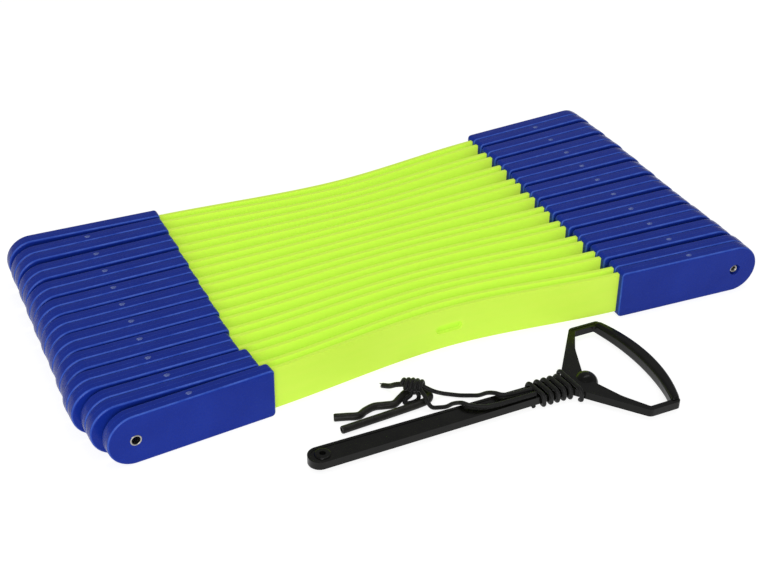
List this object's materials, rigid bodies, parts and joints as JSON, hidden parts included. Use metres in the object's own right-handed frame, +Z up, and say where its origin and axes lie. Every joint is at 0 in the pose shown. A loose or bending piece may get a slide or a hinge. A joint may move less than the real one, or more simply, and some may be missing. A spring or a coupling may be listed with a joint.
{
  "type": "agility slats",
  "caption": "Folding chain of riveted agility slats on edge, yellow-green blades with blue round caps, and a black carry handle with a wound cord.",
  "frame": {"origin": "on the floor, under the middle of the box round the slats and the handle, cords left out", "axes": "+X along the slats, +Y from the handle towards the back slat, +Z up"},
  "size_m": [0.526, 0.3596, 0.038],
  "materials": {
    "cap_plastic": "satin moulded blue",
    "blade_plastic": "satin fluorescent yellow-green",
    "handle_plastic": "glossy black",
    "cord": "black braid",
    "rubber": "satin black"
  },
  "bodies": {
    "slat_01": {"blade_01": "blade_plastic", "left_cap_01": "cap_plastic", "right_cap_01": "cap_plastic"},
    "slat_02": {"blade_02": "blade_plastic", "left_cap_02": "cap_plastic", "right_cap_02": "cap_plastic"},
    "slat_03": {"blade_03": "blade_plastic", "left_cap_03": "cap_plastic", "right_cap_03": "cap_plastic"},
    "slat_04": {"blade_04": "blade_plastic", "left_cap_04": "cap_plastic", "right_cap_04": "cap_plastic"},
    "slat_05": {"blade_05": "blade_plastic", "left_cap_05": "cap_plastic", "right_cap_05": "cap_plastic"},
    "slat_06": {"blade_06": "blade_plastic", "left_cap_06": "cap_plastic", "right_cap_06": "cap_plastic"},
    "slat_07": {"blade_07": "blade_plastic", "left_cap_07": "cap_plastic", "right_cap_07": "cap_plastic"},
    "slat_08": {"blade_08": "blade_plastic", "left_cap_08": "cap_plastic", "right_cap_08": "cap_plastic"},
    "slat_09": {"blade_09": "blade_plastic", "left_cap_09": "cap_plastic", "right_cap_09": "cap_plastic"},
    "slat_10": {"slat_10": "blade_plastic"},
    "slat_11": {"slat_11": "blade_plastic"},
    "slat_12": {"blade_12": "blade_plastic", "left_cap_12": "cap_plastic", "right_cap_12": "cap_plastic"},
    "slat_13": {"blade_13": "blade_plastic", "left_cap_13": "cap_plastic", "right_cap_13": "cap_plastic"},
    "slat_14": {"blade_14": "blade_plastic", "left_cap_14": "cap_plastic", "right_cap_14": "cap_plastic"},
    "slat_15": {"blade_15": "blade_plastic", "left_cap_15": "cap_plastic", "right_cap_15": "cap_plastic"},
    "slat_16": {"blade_16": "blade_plastic", "left_cap_16": "cap_plastic", "right_cap_16": "cap_plastic"},
    "slat_17": {"blade_17": "blade_plastic", "left_cap_17": "cap_plastic", "right_cap_17": "cap_plastic"},
    "slat_18": {"blade_18": "blade_plastic", "left_cap_18": "cap_plastic", "right_cap_18": "cap_plastic"},
    "slat_19": {"blade_19": "blade_plastic", "left_cap_19": "cap_plastic", "right_cap_19": "cap_plastic"},
    "slat_20": {"blade_20": "blade_plastic", "left_cap_20": "cap_plastic", "right_cap_20": "cap_plastic"},
    "carry_handle": {"carry_handle": "handle_plastic", "cord_winding": "cord", "cord_and_knot": "cord", "rubber_tube": "rubber"}
  },
  "joints": [
    {"name": "right_rivet_01_02", "type": "hinge", "parent": "slat_02", "child": "slat_01", "pos_m": [0.2392, -0.06368, 0.019], "axis": [0.0648, 0.9979, 0], "continuous": true},
    {"name": "left_rivet_02_03", "type": "hinge", "parent": "slat_03", "child": "slat_02", "pos_m": [-0.23887, -0.04838, 0.019], "axis": [0.028, -0.9996, 0], "continuous": true},
    {"name": "right_rivet_03_04", "type": "hinge", "parent": "slat_04", "child": "slat_03", "pos_m": [0.2392, -0.03793, 0.019], "axis": [0.0504, 0.9987, 0], "continuous": true},
    {"name": "left_rivet_04_05", "type": "hinge", "parent": "slat_05", "child": "slat_04", "pos_m": [-0.24387, -0.02439, 0.019], "axis": [0.0171, -0.9999, 0], "continuous": true},
    {"name": "right_rivet_05_06", "type": "hinge", "parent": "slat_06", "child": "slat_05", "pos_m": [0.2392, -0.01218, 0.019], "axis": [0.036, 0.9994, 0], "continuous": true},
    {"name": "left_rivet_06_07", "type": "hinge", "parent": "slat_07", "child": "slat_06", "pos_m": [-0.24207, -0.00126, 0.019], "axis": [0.0144, -0.9999, 0], "continuous": true},
    {"name": "right_rivet_07_08", "type": "hinge", "parent": "slat_08", "child": "slat_07", "pos_m": [0.2392, 0.01358, 0.019], "axis": [0.0216, 0.9998, 0], "continuous": true},
    {"name": "left_rivet_08_09", "type": "hinge", "parent": "slat_09", "child": "slat_08", "pos_m": [-0.24059, 0.02143, 0.019], "axis": [0.0137, -0.9999, 0], "continuous": true},
    {"name": "right_rivet_09_10", "type": "hinge", "parent": "slat_10", "child": "slat_09", "pos_m": [0.23973, 0.03932, 0.019], "axis": [0.0072, 1, 0], "continuous": true},
    {"name": "left_rivet_10_11", "type": "hinge", "parent": "slat_10", "child": "slat_11", "pos_m": [-0.23988, 0.0441, 0.019], "axis": [0.0135, -0.9999, 0], "continuous": true},
    {"name": "right_rivet_11_12", "type": "hinge", "parent": "slat_11", "child": "slat_12", "pos_m": [0.24095, 0.06508, 0.019], "axis": [-0.0072, 1, 0], "continuous": true},
    {"name": "left_rivet_12_13", "type": "hinge", "parent": "slat_12", "child": "slat_13", "pos_m": [-0.23893, 0.06717, 0.019], "axis": [0.0133, -0.9999, 0], "continuous": true},
    {"name": "right_rivet_13_14", "type": "hinge", "parent": "slat_13", "child": "slat_14", "pos_m": [0.24231, 0.09082, 0.019], "axis": [-0.0216, 0.9998, 0], "continuous": true},
    {"name": "left_rivet_14_15", "type": "hinge", "parent": "slat_14", "child": "slat_15", "pos_m": [-0.23783, 0.09106, 0.019], "axis": [0.0126, -0.9999, 0], "continuous": true},
    {"name": "right_rivet_15_16", "type": "hinge", "parent": "slat_15", "child": "slat_16", "pos_m": [0.24326, 0.11658, 0.019], "axis": [-0.036, 0.9994, 0], "continuous": true},
    {"name": "left_rivet_16_17", "type": "hinge", "parent": "slat_16", "child": "slat_17", "pos_m": [-0.23669, 0.11619, 0.019], "axis": [0.0099, -1, 0], "continuous": true},
    {"name": "right_rivet_17_18", "type": "hinge", "parent": "slat_17", "child": "slat_18", "pos_m": [0.2434, 0.14232, 0.019], "axis": [-0.0504, 0.9987, 0], "continuous": true},
    {"name": "left_rivet_18_19", "type": "hinge", "parent": "slat_18", "child": "slat_19", "pos_m": [-0.23556, 0.14298, 0.019], "axis": [-0.001, -1, 0], "continuous": true},
    {"name": "right_rivet_19_20", "type": "hinge", "parent": "slat_19", "child": "slat_20", "pos_m": [0.2434, 0.16807, 0.019], "axis": [-0.0648, 0.9979, 0], "continuous": true},
    {"name": "carry_handle_lift", "type": "slide", "parent": "slat_10", "child": "carry_handle", "axis": [0, 0, 1], "range_m": [0, 0.25]}
  ]
}
